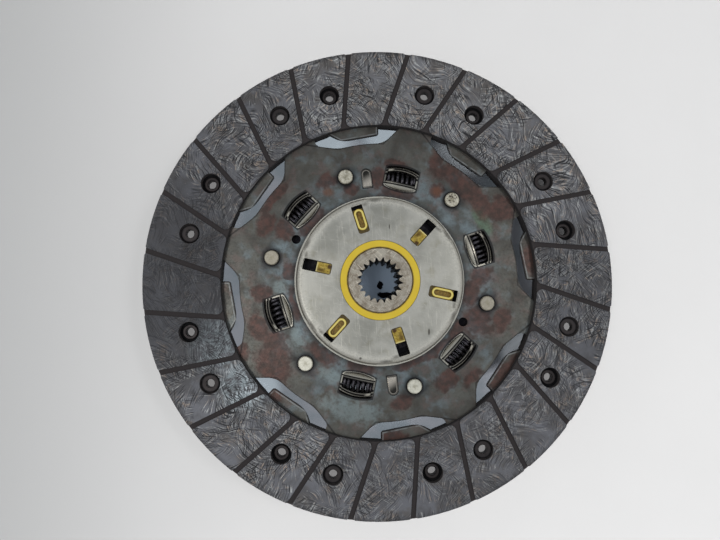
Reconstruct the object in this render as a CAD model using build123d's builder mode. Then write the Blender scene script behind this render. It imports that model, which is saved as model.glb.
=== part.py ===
"""Clutch disc for a 20-spline gearbox shaft: riveted linings on a one-piece cushion disc,
a six-spring main damper and an idle damper under a pressed cap.

Millimetres. The hub axis is Z and the capped side faces +Z. Z = 0 is the middle of the cushion
disc's sheet. Angles are degrees anticlockwise from +X, seen from the capped side.
"""

import math
import os

from build123d import *

# ---------------------------------------------------------------- driving dimensions
lining_outer_diameter = 220.0
lining_inner_diameter = 148.5
lining_thickness = 3.5
groove_count = 24
groove_width = 2.3
groove_depth = 0.9
groove_offset = 22.0  # distance from the hub axis to each groove's centre line
groove_angle = 11.3
pad_corner_radius = 2.6
pad_rim_corner_radius = 0.9

rivets_per_lining = 8
rivet_circle_diameter = 183.0
front_rivet_angle = 31.35
rear_rivet_angle = 15.3
access_hole_diameter = 9.5
lining_under_head = 1.5
rivet_head_diameter = 8.4
rivet_head_thickness = 0.8
rivet_shank_diameter = 4.9
rivet_bore_diameter = 3.9
rivet_flare_diameter = 7.0
rivet_flare_thickness = 0.6
rivet_hole_clearance = 0.1

cushion_thickness = 0.8
cushion_inner_diameter = 72.0
crescent_depth = 8.1  # from the linings' inner edge in to the far side of each crescent
heel_reach = 5.0  # and in to the start of the paddle's heel
heel_tip_reach = 4.1  # and in to the heel's corner at the paddle's tip
paddle_edge_margin = 4.0  # how far the paddles stop short of the lining's outer edge
paddle_count = 8
paddle_angle = 58.0  # middle of the gap beside one paddle's neck
neck_trailing_angle = 12.0
neck_shoulder_rise = 5.0  # height of the steep end of a crescent above its floor
crescent_floor_angle = 4.2
crescent_ramp_angle = 14.6
neck_leading_angle = 21.3
paddle_tip_angle = 12.6
heel_start_angle = 2.5
relief_end_angle = 8.7
relief_margin = 3.5  # how far the relief slot runs under the lining
paddle_flare_start = 1.8  # from here outwards, past the lining's inner edge, a paddle widens
paddle_flare_end = 8.8
paddle_flare_angle = 16.8
neck_shoulder_fillet_radius = 3.0
crescent_floor_fillet_radius = 20.0
crescent_ramp_fillet_radius = 10.0
heel_fillet_radius = 1.3
heel_start_fillet_radius = 12.0
flare_fillet_radius = 2.5
relief_fillet_radius = 2.2

plate_thickness = 1.8
drive_plate_diameter = 124.0
counter_plate_diameter = 121.0
drive_plate_bore = 48.6
flange_thickness = 5.5
damper_gap = 1.6  # between each side plate and the hub flange

spring_count = 6
spring_angle = 17.9
spring_circle_diameter = 100.2
spring_diameter = 11.2
spring_wire = 1.6
spring_length = 14.0
spring_pitch = 2.45
spring_end_clearance = 0.1
spring_side_clearance = 0.2
lip_gap = 4.4
lip_arch = 1.3
window_clearance = 0.2
window_end_margin = 1.0
lip_crown = 0.8
window_corner_radius = 1.8

main_damper_travel = 4.2  # degrees each way
stop_pin_angle = 48.2
stop_pin_circle_diameter = 104.2
stop_pin_body_diameter = 8.4
stop_pin_neck_diameter = 5.4
stop_pin_head_diameter = 6.9
stop_pin_head_height = 1.5
stop_pin_chamfer = 0.35
stop_clearance = 0.3
stop_floor_clearance = 0.8
flange_rim = 3.6
arm_corner_radius = 2.0
flange_window_clearance = 0.4

locator_angle = 97.1
locator_circle_diameter = 99.0
locator_width = 4.7
locator_length = 9.1
locator_corner_radius = 0.9
locator_tongue_margin = 1.0
locator_tongue_height = 0.5
tool_hole_angle = 153.8
tool_hole_circle_diameter = 88.2
tool_hole_diameter = 4.3

cap_diameter = 80.2
cap_bore = 37.5
cap_sheet = 0.9
cap_top = 6.0
cap_skirt_diameter = 78.6
cap_shoulder_radius = 2.6
cap_dent_angle = 34.0
cap_dent_width = 9.0
cap_dent_depth = 0.6
cap_rim_clearance = 0.3
cap_slot_angle = 48.0
cap_slot_count = 6
cap_slot_circle_diameter = 60.3
cap_slot_length = 13.9
cap_slot_width = 5.4
cap_slot_corner_radius = 1.2

cage_ring_outer_diameter = 37.1
cage_ring_inner_diameter = 30.7
cage_rim_clearance = 0.1
cage_plate_thickness = 1.5
cage_boss_length = 10.2
cage_boss_shift = 0.45  # from the middle of the cap's slot towards the hub
cage_boss_width = 4.6
cage_boss_wall = 0.95
cage_boss_depth = 2.0
cage_block_height = 0.5
cage_block_clearance = 0.3
cage_block_wall = 0.5
cage_block_depth = 1.0
cage_block_slope = 52.0  # of the hollow's sides, from upright
cage_hatch_length = 6.8
cage_peg_circle_diameter = 42.0
cage_peg_diameter = 4.0
cage_peg_angle = 78.0
cage_peg_end_clearance = 0.8
cage_fit = 0.05

idle_damper_travel = 4.0  # degrees each way
idle_plate_thickness = 1.5
idle_plate_diameter = 66.0
idle_spring_count = 3
idle_spring_angle = 18.0
idle_spring_circle_diameter = 55.0
idle_spring_diameter = 4.6
idle_spring_wire = 0.8
idle_spring_length = 9.4
idle_spring_pitch = 1.5
idle_window_clearance = 0.3

hub_face_diameter = 30.1
hub_front = 6.3
hub_rear = -20.0
hub_tooth_count = 10
hub_tooth_width_angle = 12.0
hub_tooth_diameter = 34.6
hub_tooth_step_diameter = 33.2
hub_tooth_root_diameter = 30.2
hub_collar_diameter = 38.4
hub_collar_thickness = 1.2
hub_journal_diameter = 31.2
hub_chamfer = 0.35
tooth_radial_clearance = 0.4
tooth_side_clearance = 0.3
running_clearance = 0.05

spline_count = 20
spline_major_diameter = 21.2
spline_minor_diameter = 17.7
spline_space_angle = 13.2  # width of one space at the minor diameter
spline_root_angle = 2.4  # and at the major diameter
spline_angle = 82.6
spline_chamfer = 0.25

friction_ring_inner_diameter = 50.6
friction_ring_outer_diameter = 64.0
friction_washer_inner_diameter = 41.0
friction_washer_outer_diameter = 62.0
friction_washer_thickness = 0.8
diaphragm_sheet = 0.45
diaphragm_tab_count = 4
diaphragm_tab_angle = 48.0
diaphragm_tab_reach = 0.7  # how far the tabs stand out behind the counter plate
diaphragm_tab_width = 5.0
diaphragm_tab_clearance = 0.3
diaphragm_tab_diameter = 66.0
bush_flange_diameter = 41.0
bush_flange_thickness = 1.0
bush_outer_diameter = 36.8

# ---------------------------------------------------------------- derived positions
lining_outer_radius = lining_outer_diameter / 2
lining_inner_radius = lining_inner_diameter / 2
cushion_half = cushion_thickness / 2
rivet_circle_radius = rivet_circle_diameter / 2

drive_plate_top = -cushion_half
drive_plate_bottom = drive_plate_top - plate_thickness
flange_top = drive_plate_bottom - damper_gap
flange_bottom = flange_top - flange_thickness
spring_axis_z = (flange_top + flange_bottom) / 2
counter_plate_top = flange_bottom - damper_gap
counter_plate_bottom = counter_plate_top - plate_thickness

spring_radius = spring_diameter / 2
spring_circle_radius = spring_circle_diameter / 2
window_length = spring_length + 2 * spring_end_clearance
lip_inner_radius = spring_radius + spring_side_clearance
lip_outer_radius = lip_inner_radius + plate_thickness
lip_root_height = drive_plate_top - spring_axis_z
lip_end_half_width = math.sqrt(lip_outer_radius**2 - lip_root_height**2)
lip_middle_half_width = math.sqrt((lip_outer_radius + lip_crown) ** 2 - lip_root_height**2)

stop_pin_circle_radius = stop_pin_circle_diameter / 2
stop_notch_half_width = (
    stop_pin_circle_radius * math.sin(math.radians(main_damper_travel))
    + stop_pin_body_diameter / 2
    + stop_clearance
)
flange_radius = spring_circle_radius + spring_radius + flange_window_clearance + flange_rim

cap_underside = cap_top - cap_sheet
cap_slot_circle_radius = cap_slot_circle_diameter / 2
cap_slot_outer_radius = cap_slot_circle_radius + cap_slot_length / 2
cage_top = cap_underside
cage_underside = cage_top - cage_plate_thickness
cage_boss_circle_radius = cap_slot_circle_radius - cage_boss_shift
idle_plate_top = cage_underside - running_clearance
idle_plate_bottom = idle_plate_top - idle_plate_thickness
idle_spring_axis_z = (idle_plate_top + idle_plate_bottom) / 2
idle_window_length = idle_spring_length + 2 * spring_end_clearance


def on_circle(radius, angle):
    """Point on a circle about the hub axis."""
    return (radius * math.cos(math.radians(angle)), radius * math.sin(math.radians(angle)))


# ---------------------------------------------------------------- linings
def lining_ring():
    """One lining lying on Z = 0 with its grooved working face up, before any rivet holes."""
    with BuildPart() as lining:
        with BuildSketch():
            Circle(lining_outer_radius)
            Circle(lining_inner_radius, mode=Mode.SUBTRACT)
        extrude(amount=lining_thickness - groove_depth)
        with BuildSketch(Plane.XY.offset(lining_thickness - groove_depth)) as pads:
            Circle(lining_outer_radius)
            Circle(lining_inner_radius, mode=Mode.SUBTRACT)
            with PolarLocations(0, groove_count, start_angle=groove_angle):
                with Locations((lining_outer_radius / 2, groove_offset)):
                    Rectangle(2 * lining_outer_radius, groove_width, mode=Mode.SUBTRACT)
            inner_corners = pads.vertices().filter_by(
                lambda v: math.hypot(v.X, v.Y) < lining_inner_radius + groove_width
            )
            fillet(inner_corners, pad_corner_radius)
            rim_corners = pads.vertices().filter_by(
                lambda v: math.hypot(v.X, v.Y) > lining_outer_radius - groove_width
            )
            fillet(rim_corners, pad_rim_corner_radius)
        extrude(amount=groove_depth)
    return lining.part


def rivet_seats(own_angle, other_angle):
    """Cutters for one lining: seats for its own rivets and access holes to the other lining's."""
    with BuildPart() as cutters:
        with BuildSketch(Plane.XY.offset(lining_under_head)):
            with PolarLocations(rivet_circle_radius, rivets_per_lining, start_angle=own_angle):
                Circle(access_hole_diameter / 2)
        extrude(amount=lining_thickness)
        with BuildSketch():
            with PolarLocations(rivet_circle_radius, rivets_per_lining, start_angle=own_angle):
                Circle(rivet_shank_diameter / 2 + rivet_hole_clearance)
            with PolarLocations(rivet_circle_radius, rivets_per_lining, start_angle=other_angle):
                Circle(access_hole_diameter / 2)
        extrude(amount=lining_thickness)
    return cutters.part


with BuildPart() as front_lining:
    with Locations((0, 0, cushion_half)):
        add(lining_ring())
        add(rivet_seats(front_rivet_angle, rear_rivet_angle), mode=Mode.SUBTRACT)
front_lining.part.label = "front_lining"

with BuildPart() as rear_lining:
    with Locations(Location((0, 0, -cushion_half), (180, 0, 0))):
        add(lining_ring())
        add(rivet_seats(-rear_rivet_angle, -front_rivet_angle), mode=Mode.SUBTRACT)
rear_lining.part.label = "rear_lining"


# ---------------------------------------------------------------- lining rivets
def lining_rivet():
    """Tubular rivet on the Z axis: head in the lining's seat, far end rolled on the cushion disc."""
    seat = cushion_half + lining_under_head
    rolled = -cushion_half - rivet_flare_thickness
    bore = rivet_bore_diameter / 2
    with BuildPart() as rivet:
        with BuildSketch(Plane.XZ):
            with BuildLine():
                Polyline(
                    (bore, rolled),
                    (rivet_flare_diameter / 2, rolled),
                    (rivet_flare_diameter / 2, -cushion_half),
                    (rivet_shank_diameter / 2, -cushion_half),
                    (rivet_shank_diameter / 2, seat),
                    (rivet_head_diameter / 2, seat),
                    (rivet_head_diameter / 2, seat + rivet_head_thickness),
                    (bore, seat + rivet_head_thickness),
                    close=True,
                )
            make_face()
        revolve(axis=Axis.Z)
        rims = rivet.edges().filter_by(GeomType.CIRCLE).group_by(Axis.Z)
        chamfer(rims[0], rivet_flare_thickness / 2)
        chamfer(rims[-1], rivet_head_thickness / 4)
    return rivet.part


with BuildPart() as front_lining_rivets:
    with PolarLocations(rivet_circle_radius, rivets_per_lining, start_angle=front_rivet_angle):
        add(lining_rivet())
front_lining_rivets.part.label = "front_lining_rivets"

with BuildPart() as rear_lining_rivets:
    with Locations(Location((0, 0, 0), (180, 0, 0))):
        with PolarLocations(rivet_circle_radius, rivets_per_lining, start_angle=-rear_rivet_angle):
            add(lining_rivet())
rear_lining_rivets.part.label = "rear_lining_rivets"


# ---------------------------------------------------------------- cushion disc
def paddle_gap():
    """Opening between two paddles: slot, crescent below one heel and relief slot beside a neck.

    The face is drawn about the +X direction and reaches past the paddles' outer edge.
    """
    floor = lining_inner_radius - crescent_depth
    heel = lining_inner_radius - heel_reach
    relief = lining_inner_radius + relief_margin
    flare_start = lining_inner_radius + paddle_flare_start
    flare_end = lining_inner_radius + paddle_flare_end
    shoulder = on_circle(floor + neck_shoulder_rise, neck_trailing_angle)
    floor_start = on_circle(floor, crescent_floor_angle)
    ramp_foot = on_circle(floor, -crescent_ramp_angle)
    heel_corner = on_circle(lining_inner_radius - heel_tip_reach, -paddle_tip_angle)
    heel_start = on_circle(heel, heel_start_angle)
    relief_corners = [
        on_circle(relief, neck_trailing_angle),
        on_circle(relief, relief_end_angle),
    ]
    flare_corners = [
        on_circle(flare_end, -paddle_flare_angle),
        on_circle(flare_start, -neck_leading_angle),
    ]
    with BuildSketch() as gap:
        with BuildLine():
            CenterArc(
                (0, 0), floor, -crescent_ramp_angle, crescent_ramp_angle + crescent_floor_angle
            )
            Polyline(
                floor_start,
                shoulder,
                *relief_corners,
                heel_start,
                heel_corner,
                on_circle(lining_outer_radius, -paddle_tip_angle),
                on_circle(lining_outer_radius, -paddle_flare_angle),
                *flare_corners,
                ramp_foot,
            )
        make_face()
        fillet(corners_at(gap, [shoulder]), neck_shoulder_fillet_radius)
        fillet(corners_at(gap, [floor_start]), crescent_floor_fillet_radius)
        fillet(corners_at(gap, [ramp_foot]), crescent_ramp_fillet_radius)
        fillet(corners_at(gap, [heel_corner]), heel_fillet_radius)
        fillet(corners_at(gap, [heel_start]), heel_start_fillet_radius)
        fillet(corners_at(gap, relief_corners), relief_fillet_radius)
        fillet(corners_at(gap, flare_corners), flare_fillet_radius)
    return gap.sketch


def corners_at(builder, points):
    """Vertices of a sketch nearest to the given points."""
    return [builder.vertices().sort_by_distance(Vector(*point))[0] for point in points]


def locator_outline(margin):
    """A locator's hole, or the tongue in it: round towards the rim and square towards the hub."""
    length = locator_length - margin
    width = locator_width - margin
    with BuildSketch() as outline:
        SlotOverall(length, width)
        with Locations((-length / 4, 0)):
            RectangleRounded(length / 2, width, locator_corner_radius - margin / 2)
    return outline.sketch


def spring_window():
    """Opening in the cushion disc for one spring's lips; X is radial and Y along the spring."""
    side = lip_end_half_width + window_clearance
    middle = lip_middle_half_width + window_clearance
    end = window_length / 2 + window_end_margin
    with BuildSketch() as window:
        with BuildLine():
            Line((-side, -end), (side, -end))
            ThreePointArc((side, -end), (middle, 0), (side, end))
            Line((side, end), (-side, end))
            ThreePointArc((-side, end), (-middle, 0), (-side, -end))
        make_face()
        fillet(window.vertices(), window_corner_radius)
    return window.sketch


with BuildPart() as cushion_disc:
    with BuildSketch(Plane.XY.offset(-cushion_half)):
        Circle(lining_outer_radius - paddle_edge_margin)
        Circle(cushion_inner_diameter / 2, mode=Mode.SUBTRACT)
        with PolarLocations(0, paddle_count, start_angle=paddle_angle):
            add(paddle_gap(), mode=Mode.SUBTRACT)
        with PolarLocations(rivet_circle_radius, rivets_per_lining, start_angle=front_rivet_angle):
            Circle(rivet_shank_diameter / 2 + rivet_hole_clearance, mode=Mode.SUBTRACT)
        with PolarLocations(rivet_circle_radius, rivets_per_lining, start_angle=rear_rivet_angle):
            Circle(rivet_shank_diameter / 2 + rivet_hole_clearance, mode=Mode.SUBTRACT)
        with PolarLocations(spring_circle_radius, spring_count, start_angle=spring_angle):
            add(spring_window(), mode=Mode.SUBTRACT)
        with PolarLocations(stop_pin_circle_radius, spring_count, start_angle=stop_pin_angle):
            Circle(stop_pin_neck_diameter / 2 + rivet_hole_clearance, mode=Mode.SUBTRACT)
        with PolarLocations(locator_circle_diameter / 2, 2, start_angle=locator_angle):
            add(locator_outline(0), mode=Mode.SUBTRACT)
        with PolarLocations(tool_hole_circle_diameter / 2, 2, start_angle=tool_hole_angle):
            Circle(tool_hole_diameter / 2, mode=Mode.SUBTRACT)
    extrude(amount=cushion_thickness)
cushion_disc.part.label = "cushion_disc"


# ---------------------------------------------------------------- side plates
def lip_barrel():
    """Solid barrel about the Y axis that the two lips of one spring window are cut from."""
    half = window_length / 2
    with BuildPart() as barrel:
        with BuildSketch():
            with BuildLine():
                Polyline((lip_outer_radius, -half), (0, -half), (0, half), (lip_outer_radius, half))
                ThreePointArc(
                    (lip_outer_radius, half),
                    (lip_outer_radius + lip_crown, 0),
                    (lip_outer_radius, -half),
                )
            make_face()
        revolve(axis=Axis.Y)
        split(bisect_by=Plane.XY.offset(damper_gap + flange_thickness / 2), keep=Keep.TOP)
    return barrel.part


def sight_gap():
    """Gap between the two lips of one window, straight towards the hub and arched outwards."""
    side = lip_gap / 2
    end = window_length / 2
    with BuildSketch() as gap:
        with BuildLine():
            Polyline((side, end), (-side, end), (-side, -end), (side, -end))
            ThreePointArc((side, -end), (side + lip_arch, 0), (side, end))
        make_face()
    return gap.sketch


def side_plate(outer_radius, bore_radius):
    """Plate with its flange side on Z = 0 and the lips of its spring windows rising along +Z."""
    axis_depth = damper_gap + flange_thickness / 2
    with BuildPart() as plate:
        with BuildSketch():
            Circle(outer_radius)
            Circle(bore_radius, mode=Mode.SUBTRACT)
            with PolarLocations(stop_pin_circle_radius, spring_count, start_angle=stop_pin_angle):
                Circle(stop_pin_neck_diameter / 2 + rivet_hole_clearance, mode=Mode.SUBTRACT)
            with PolarLocations(tool_hole_circle_diameter / 2, 2, start_angle=tool_hole_angle):
                Circle(tool_hole_diameter / 2, mode=Mode.SUBTRACT)
        extrude(amount=plate_thickness)
        with Locations((0, 0, -axis_depth)):
            with PolarLocations(spring_circle_radius, spring_count, start_angle=spring_angle):
                add(lip_barrel())
                Cylinder(
                    lip_inner_radius,
                    window_length,
                    rotation=(90, 0, 0),
                    mode=Mode.SUBTRACT,
                )
        with BuildSketch():
            with PolarLocations(spring_circle_radius, spring_count, start_angle=spring_angle):
                add(sight_gap())
        extrude(amount=lip_outer_radius, mode=Mode.SUBTRACT)
    return plate.part


with BuildPart() as drive_plate:
    with Locations((0, 0, drive_plate_bottom)):
        add(side_plate(drive_plate_diameter / 2, drive_plate_bore / 2))
    with BuildSketch(Plane.XY.offset(drive_plate_top)):
        with PolarLocations(locator_circle_diameter / 2, 2, start_angle=locator_angle):
            add(locator_outline(locator_tongue_margin))
    extrude(amount=locator_tongue_height)
drive_plate.part.label = "drive_plate"

with BuildPart() as counter_plate:
    with Locations((0, 0, -counter_plate_top)):
        add(side_plate(counter_plate_diameter / 2, bush_outer_diameter / 2))
    mirror(about=Plane.XY, mode=Mode.REPLACE)
    with BuildSketch(Plane.XY.offset(counter_plate_top)):
        with PolarLocations(diaphragm_tab_diameter / 2, diaphragm_tab_count, start_angle=diaphragm_tab_angle):
            Rectangle(
                diaphragm_sheet + 2 * diaphragm_tab_clearance,
                diaphragm_tab_width + 2 * diaphragm_tab_clearance,
            )
    extrude(amount=-plate_thickness, mode=Mode.SUBTRACT)
counter_plate.part.label = "counter_plate"

# ---------------------------------------------------------------- stop pins
with BuildPart() as stop_pins:
    with PolarLocations(stop_pin_circle_radius, spring_count, start_angle=stop_pin_angle):
        with Locations((0, 0, spring_axis_z)):
            Cylinder(stop_pin_body_diameter / 2, drive_plate_bottom - counter_plate_top)
        with Locations((0, 0, cushion_half)):
            Cylinder(
                stop_pin_neck_diameter / 2,
                cushion_half - counter_plate_bottom,
                align=(Align.CENTER, Align.CENTER, Align.MAX),
            )
            Cylinder(
                stop_pin_head_diameter / 2,
                stop_pin_head_height,
                align=(Align.CENTER, Align.CENTER, Align.MIN),
            )
        with Locations((0, 0, counter_plate_bottom)):
            Cylinder(
                stop_pin_head_diameter / 2,
                stop_pin_head_height,
                align=(Align.CENTER, Align.CENTER, Align.MAX),
            )
    head_rims = stop_pins.edges().filter_by(GeomType.CIRCLE).group_by(Axis.Z)
    chamfer(head_rims[0] + head_rims[-1], stop_pin_chamfer)
stop_pins.part.label = "stop_pins"


# ---------------------------------------------------------------- hub and hub flange
def toothed_disc(tip_radius, root_radius, tooth_angle):
    """Disc with radial-sided teeth, the first one centred on +X."""
    far = 2 * tip_radius
    with BuildSketch() as disc:
        with PolarLocations(0, hub_tooth_count):
            Polygon(
                (0, 0),
                on_circle(far, -tooth_angle / 2),
                on_circle(far, tooth_angle / 2),
                align=None,
            )
        Circle(tip_radius, mode=Mode.INTERSECT)
        Circle(root_radius)
    return disc.sketch


def spline_bore():
    """Section of the splined bore: the minor circle with one tapering space for each spline."""
    minor = spline_minor_diameter / 2
    major = spline_major_diameter / 2
    inside = minor * math.cos(math.radians(spline_space_angle / 2))
    with BuildSketch() as bore:
        Circle(minor)
        with PolarLocations(0, spline_count, start_angle=spline_angle):
            Polygon(
                on_circle(inside, -spline_space_angle / 2),
                on_circle(major, -spline_root_angle / 2),
                on_circle(major, spline_root_angle / 2),
                on_circle(inside, spline_space_angle / 2),
                align=None,
            )
    return bore.sketch


collar_top = flange_bottom - running_clearance
collar_bottom = collar_top - hub_collar_thickness
tooth_tip_radius = hub_tooth_diameter / 2
tooth_root_radius = hub_tooth_root_diameter / 2
tooth_step_radius = hub_tooth_step_diameter / 2

with BuildPart() as hub:
    with BuildSketch(Plane.XY.offset(hub_rear)):
        Circle(hub_journal_diameter / 2)
    extrude(amount=collar_bottom - hub_rear)
    with BuildSketch(Plane.XY.offset(collar_bottom)):
        Circle(hub_collar_diameter / 2)
    extrude(amount=hub_collar_thickness)
    with BuildSketch(Plane.XY.offset(collar_top)):
        add(toothed_disc(tooth_tip_radius, tooth_root_radius, hub_tooth_width_angle))
    extrude(amount=idle_plate_bottom - collar_top)
    with BuildSketch(Plane.XY.offset(idle_plate_bottom)):
        add(toothed_disc(tooth_step_radius, tooth_root_radius, hub_tooth_width_angle))
    extrude(amount=idle_plate_thickness)
    with BuildSketch(Plane.XY.offset(idle_plate_top)):
        Circle(hub_face_diameter / 2)
    extrude(amount=hub_front - idle_plate_top)
    end_rims = hub.edges().filter_by(GeomType.CIRCLE).group_by(Axis.Z)
    chamfer(end_rims[0] + end_rims[-1], hub_chamfer)
    with BuildSketch(Plane.XY.offset(hub_rear)):
        add(spline_bore())
    extrude(amount=hub_front - hub_rear, mode=Mode.SUBTRACT)
    for end, direction in ((hub_front, -1), (hub_rear, 1)):
        with BuildSketch(Plane.XY.offset(end)):
            Circle(spline_minor_diameter / 2 + spline_chamfer)
        extrude(amount=direction * spline_chamfer, taper=45, mode=Mode.SUBTRACT)
hub.part.label = "hub"

with BuildPart() as hub_flange:
    with BuildSketch(Plane.XY.offset(flange_bottom)) as flange_outline:
        Circle(flange_radius)
        notch_floor = stop_pin_circle_radius - stop_pin_body_diameter / 2 - stop_floor_clearance
        with PolarLocations(0, spring_count, start_angle=stop_pin_angle):
            with Locations((notch_floor, 0)):
                Rectangle(
                    flange_radius,
                    2 * stop_notch_half_width,
                    align=(Align.MIN, Align.CENTER),
                    mode=Mode.SUBTRACT,
                )
        fillet(flange_outline.vertices(), arm_corner_radius)
        with PolarLocations(spring_circle_radius, spring_count, start_angle=spring_angle):
            RectangleRounded(
                spring_diameter + 2 * flange_window_clearance,
                window_length,
                arm_corner_radius / 2,
                mode=Mode.SUBTRACT,
            )
        add(
            toothed_disc(
                tooth_tip_radius + tooth_radial_clearance,
                tooth_root_radius + tooth_radial_clearance,
                hub_tooth_width_angle + 2 * (idle_damper_travel + tooth_side_clearance),
            ),
            mode=Mode.SUBTRACT,
        )
        with PolarLocations(cage_peg_circle_diameter / 2, 3, start_angle=cage_peg_angle):
            Circle(cage_peg_diameter / 2 + cage_fit, mode=Mode.SUBTRACT)
    extrude(amount=flange_thickness)
hub_flange.part.label = "hub_flange"

# ---------------------------------------------------------------- idle damper
with BuildPart() as idle_plate:
    with BuildSketch(Plane.XY.offset(idle_plate_bottom)):
        Circle(idle_plate_diameter / 2)
        add(
            toothed_disc(
                tooth_step_radius + cage_fit,
                tooth_root_radius + cage_fit,
                hub_tooth_width_angle + tooth_side_clearance,
            ),
            mode=Mode.SUBTRACT,
        )
        with PolarLocations(
            idle_spring_circle_diameter / 2, idle_spring_count, start_angle=idle_spring_angle
        ):
            Rectangle(
                idle_spring_diameter + 2 * idle_window_clearance,
                idle_window_length,
                mode=Mode.SUBTRACT,
            )
        peg_swing = cage_peg_circle_diameter / 2 * math.sin(math.radians(idle_damper_travel))
        peg_slot_width = cage_peg_diameter + 2 * idle_window_clearance
        with PolarLocations(cage_peg_circle_diameter / 2, 3, start_angle=cage_peg_angle):
            SlotOverall(
                peg_slot_width + 2 * peg_swing,
                peg_slot_width,
                rotation=90,
                mode=Mode.SUBTRACT,
            )
    extrude(amount=idle_plate_thickness)
idle_plate.part.label = "idle_plate"

with BuildPart() as idle_cage:
    with BuildSketch(Plane.XY.offset(cage_underside)):
        Circle(cap_skirt_diameter / 2 - cap_shoulder_radius - cage_rim_clearance)
        Circle(cage_ring_inner_diameter / 2, mode=Mode.SUBTRACT)
        with PolarLocations(
            idle_spring_circle_diameter / 2, idle_spring_count, start_angle=idle_spring_angle
        ):
            Rectangle(
                idle_spring_diameter + 2 * idle_window_clearance,
                idle_window_length,
                mode=Mode.SUBTRACT,
            )
        with PolarLocations(cap_slot_outer_radius, 3, start_angle=cap_slot_angle):
            Rectangle(
                cage_hatch_length,
                cap_slot_width,
                align=(Align.MAX, Align.CENTER),
                mode=Mode.SUBTRACT,
            )
        with PolarLocations(cap_slot_outer_radius, 3, start_angle=cap_slot_angle + 60):
            Rectangle(
                (cap_slot_length - cage_boss_length) / 2 + cage_boss_shift,
                cap_slot_width,
                align=(Align.MAX, Align.CENTER),
                mode=Mode.SUBTRACT,
            )
    extrude(amount=cage_plate_thickness)
    with BuildSketch(Plane.XY.offset(cage_top)):
        Circle(cage_ring_outer_diameter / 2)
        Circle(cage_ring_inner_diameter / 2, mode=Mode.SUBTRACT)
        with PolarLocations(cage_boss_circle_radius, 3, start_angle=cap_slot_angle + 60):
            SlotOverall(cage_boss_length, cage_boss_width)
    extrude(amount=cap_sheet)
    with BuildSketch(Plane.XY.offset(cage_top)):
        with PolarLocations(cap_slot_circle_radius, 3, start_angle=cap_slot_angle):
            RectangleRounded(
                cap_slot_length - 2 * cage_block_clearance,
                cap_slot_width - 2 * cage_block_clearance,
                cap_slot_corner_radius - cage_block_clearance,
            )
        with PolarLocations(cap_slot_outer_radius, 3, start_angle=cap_slot_angle):
            Rectangle(
                cage_hatch_length,
                cap_slot_width,
                align=(Align.MAX, Align.CENTER),
                mode=Mode.SUBTRACT,
            )
    extrude(amount=cage_block_height)
    hollow_start = cap_slot_outer_radius - cap_slot_length + cage_block_clearance + cage_block_wall
    hollow_end = cap_slot_outer_radius - cage_hatch_length - cage_block_wall
    with BuildSketch(Plane.XY.offset(cage_top + cage_block_height)):
        with PolarLocations(hollow_end, 3, start_angle=cap_slot_angle):
            Rectangle(
                hollow_end - hollow_start,
                cap_slot_width - 2 * (cage_block_clearance + cage_block_wall),
                align=(Align.MAX, Align.CENTER),
            )
    extrude(amount=-cage_block_depth, taper=cage_block_slope, mode=Mode.SUBTRACT)
    with BuildSketch(Plane.XY.offset(cap_top)):
        with PolarLocations(cage_boss_circle_radius, 3, start_angle=cap_slot_angle + 60):
            SlotOverall(
                cage_boss_length - 2 * cage_boss_wall,
                cage_boss_width - 2 * cage_boss_wall,
            )
    extrude(amount=-cage_boss_depth, mode=Mode.SUBTRACT)
    with BuildSketch(Plane.XY.offset(cage_underside)):
        with PolarLocations(cage_peg_circle_diameter / 2, 3, start_angle=cage_peg_angle):
            Circle(cage_peg_diameter / 2)
    extrude(amount=flange_bottom + cage_peg_end_clearance - cage_underside)
idle_cage.part.label = "idle_cage"

with BuildPart() as cap:
    skirt = cap_skirt_diameter / 2
    rim_bottom = cushion_half + cap_rim_clearance
    with BuildSketch(Plane.XZ) as cap_section:
        with BuildLine():
            Polyline(
                (cap_bore / 2, cap_top),
                (skirt, cap_top),
                (skirt, rim_bottom + cap_sheet),
                (cap_diameter / 2, rim_bottom + cap_sheet),
                (cap_diameter / 2, rim_bottom),
                (skirt - cap_sheet, rim_bottom),
                (skirt - cap_sheet, cap_underside),
                (cap_bore / 2, cap_underside),
                close=True,
            )
        make_face()
        fillet(corners_at(cap_section, [(skirt, cap_top)]), cap_shoulder_radius)
        fillet(
            corners_at(cap_section, [(skirt - cap_sheet, cap_underside)]),
            cap_shoulder_radius - cap_sheet,
        )
    revolve(axis=Axis.Z)
    with BuildSketch(Plane.XY.offset(cap_top)):
        with PolarLocations(cap_slot_circle_radius, cap_slot_count, start_angle=cap_slot_angle):
            RectangleRounded(cap_slot_length, cap_slot_width, cap_slot_corner_radius)
    extrude(amount=-cap_sheet, mode=Mode.SUBTRACT)
    dent_face = skirt - cap_dent_depth
    with BuildSketch(Plane.XY.offset(rim_bottom + cap_sheet)):
        with PolarLocations(dent_face, cap_slot_count, start_angle=cap_dent_angle):
            Rectangle(cap_diameter, cap_dent_width, align=(Align.MIN, Align.CENTER))
    extrude(amount=cap_top - rim_bottom, mode=Mode.SUBTRACT)
    with BuildSketch(Plane.XY.offset(rim_bottom)):
        with PolarLocations(dent_face, cap_slot_count, start_angle=cap_dent_angle):
            Rectangle(cap_sheet, cap_dent_width, align=(Align.MAX, Align.CENTER))
    extrude(amount=cap_underside - cap_shoulder_radius + cap_sheet - rim_bottom)
cap.part.label = "cap"

# ---------------------------------------------------------------- friction parts and rear bush
with BuildPart() as front_friction_ring:
    with BuildSketch(Plane.XY.offset(drive_plate_bottom)):
        Circle(friction_ring_outer_diameter / 2)
        Circle(friction_ring_inner_diameter / 2, mode=Mode.SUBTRACT)
    extrude(amount=running_clearance - damper_gap)
front_friction_ring.part.label = "front_friction_ring"

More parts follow.
